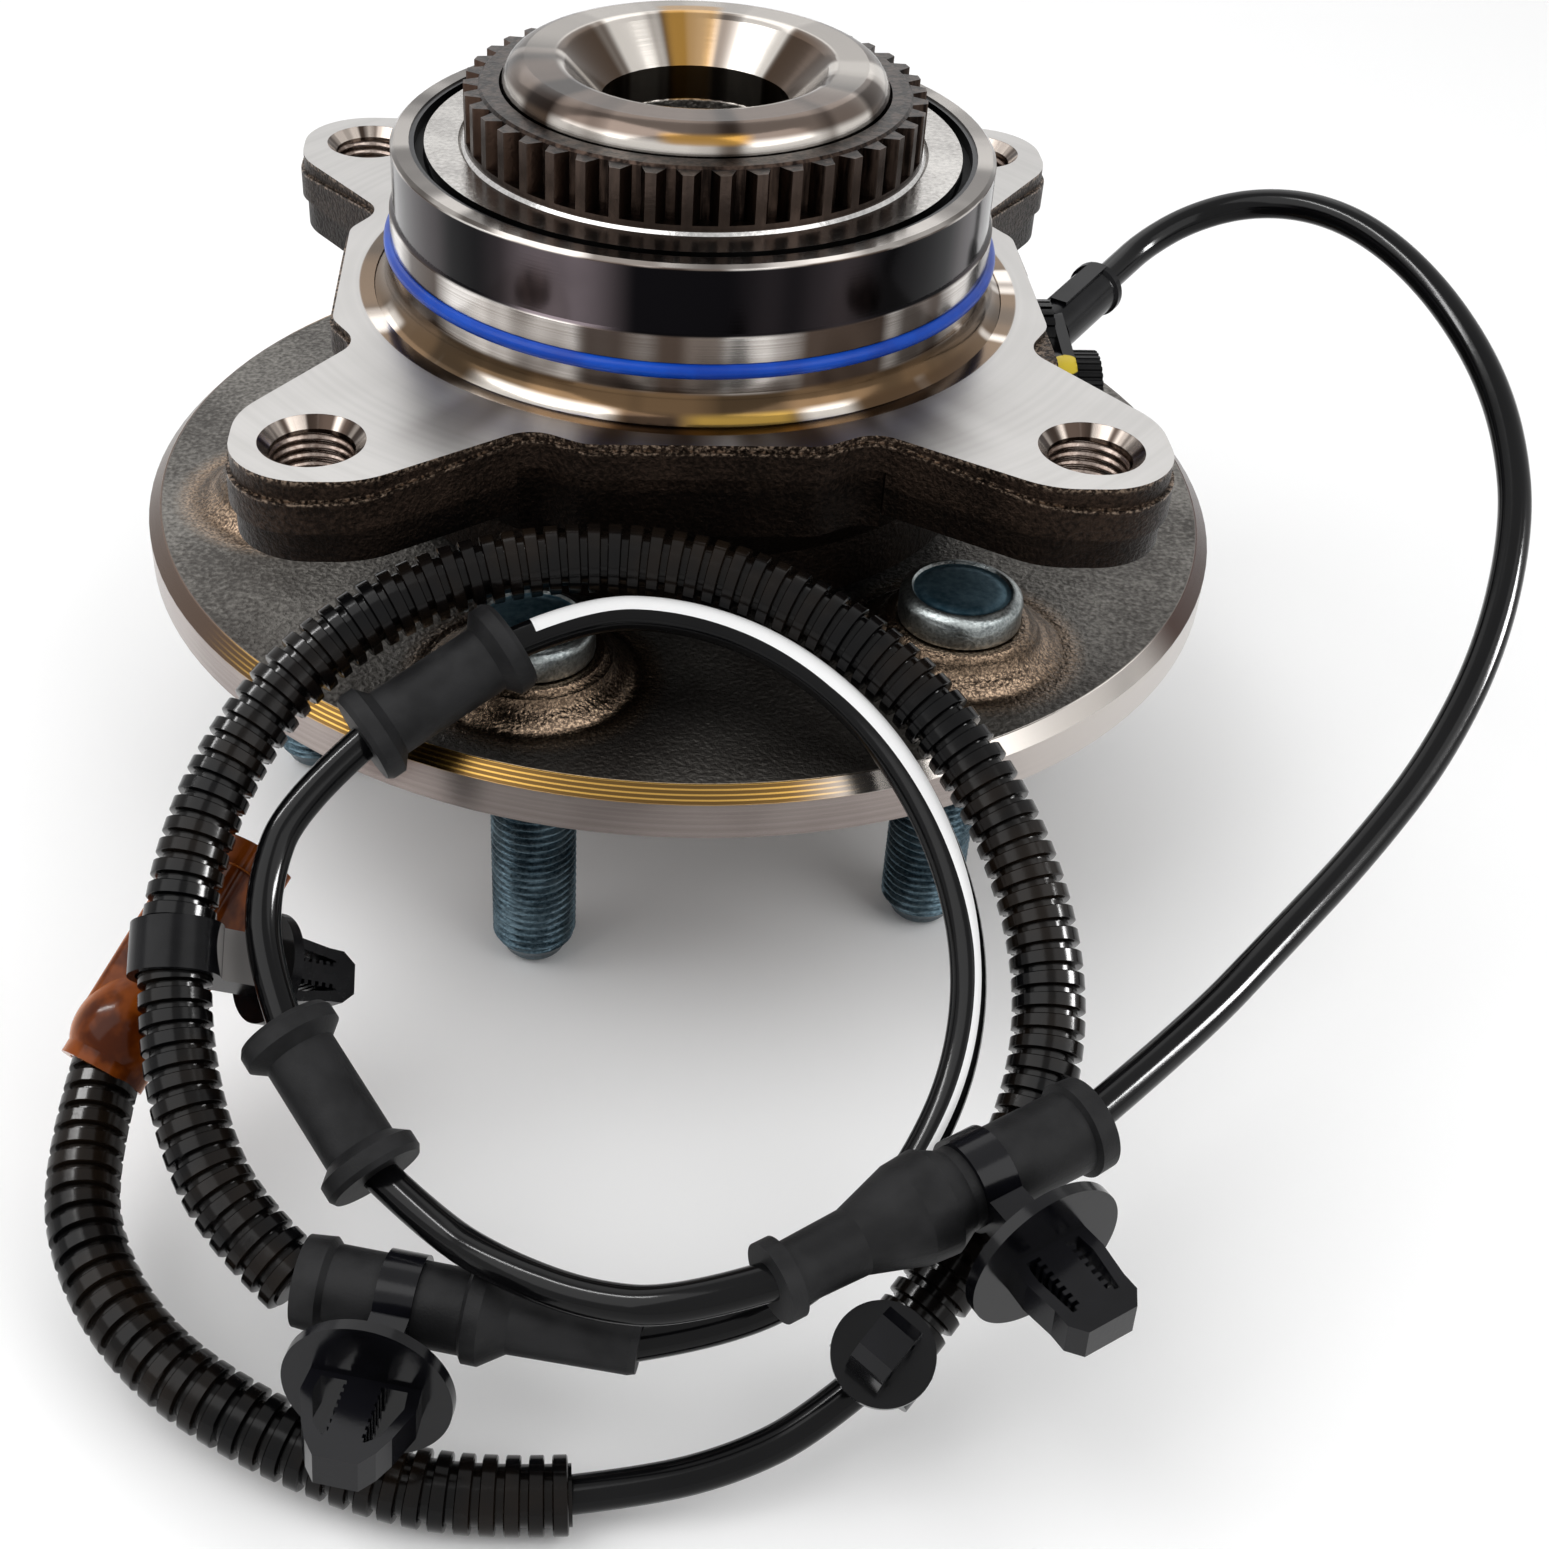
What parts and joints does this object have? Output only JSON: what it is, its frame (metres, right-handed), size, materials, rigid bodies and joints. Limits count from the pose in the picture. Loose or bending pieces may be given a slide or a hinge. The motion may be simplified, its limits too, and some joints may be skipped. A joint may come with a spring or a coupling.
{
  "type": "wheel hub bearing",
  "caption": "Bolt-on wheel hub bearing: flanged hub with wheel studs, eared knuckle housing, toothed clutch ring and speed sensor with its clipped wiring harness.",
  "frame": {"origin": "on the bearing's axis, in the plane of the wheel studs' tips", "axes": "+Z along the bearing's axis from the wheel towards the knuckle; the housing's four ears lie on the diagonals of X and Y; the speed sensor is on the +X side and the harness reaches out towards -Y"},
  "size_m": [0.2235, 0.2753, 0.13],
  "materials": {
    "housing_steel": "forged dark sides with a turned pilot and a machined knuckle face",
    "ring_rubber": "smooth blue rubber",
    "seal_steel": "pressed sheet steel",
    "seal_rubber": "matt black rubber",
    "sensor_plastic": "moulded black plastic",
    "cable_jacket": "smooth black cable jacket",
    "conduit_plastic": "glossy corrugated conduit",
    "grommet_rubber": "matt moulded rubber",
    "clip_plastic": "moulded black plastic",
    "connector_plastic": "amber moulded plastic",
    "hub_steel": "forged, turned on the rim and the formed head",
    "stud_steel": "zinc plated",
    "clutch_steel": "hardened, dark",
    "bearing_steel": "ground",
    "tone_steel": "sintered",
    "cage_plastic": "moulded natural nylon"
  },
  "bodies": {
    "housing": {"housing": "housing_steel", "pilot_o_ring": "ring_rubber", "seal_case": "seal_steel", "seal_lip": "seal_rubber", "outboard_seal": "seal_rubber", "sensor_probe": "sensor_plastic", "sensor_seat": "sensor_plastic", "sensor_body": "sensor_plastic", "sensor_cap": "sensor_plastic", "lead_sensor": "cable_jacket", "lead_lower": "cable_jacket", "lead_left": "cable_jacket", "lead_loop": "cable_jacket", "lead_link": "cable_jacket", "conduit_upper": "conduit_plastic", "conduit_lower": "conduit_plastic", "grommet_right": "grommet_rubber", "grommet_left": "grommet_rubber", "grommet_top": "grommet_rubber", "grommet_front": "grommet_rubber", "clip_front": "clip_plastic", "clip_right": "clip_plastic", "clip_left": "clip_plastic", "clip_lower": "clip_plastic", "connector_body": "connector_plastic"},
    "hub": {"hub": "hub_steel", "wheel_studs": "stud_steel", "clutch_ring": "clutch_steel", "inner_ring_inboard": "bearing_steel", "inner_ring_outboard": "bearing_steel", "tone_ring": "tone_steel", "seal_slinger": "seal_steel"},
    "cage_inboard": {"cage_inboard": "cage_plastic", "rollers_inboard": "bearing_steel"},
    "cage_outboard": {"cage_outboard": "cage_plastic", "rollers_outboard": "bearing_steel"}
  },
  "joints": [
    {"name": "hub_spin", "type": "hinge", "parent": "housing", "child": "hub", "pos_m": [0, 0, 0.09], "axis": [0, 0, 1], "continuous": true},
    {"name": "cage_inboard_spin", "type": "hinge", "parent": "housing", "child": "cage_inboard", "pos_m": [0, 0, 0.1025], "axis": [0, 0, 1], "continuous": true},
    {"name": "cage_outboard_spin", "type": "hinge", "parent": "housing", "child": "cage_outboard", "pos_m": [0, 0, 0.073], "axis": [0, 0, 1], "continuous": true}
  ],
  "couplings": [
    {"joint": "cage_inboard_spin", "follows": "hub_spin", "ratio": 0.4432},
    {"joint": "cage_outboard_spin", "follows": "hub_spin", "ratio": 0.4432}
  ]
}
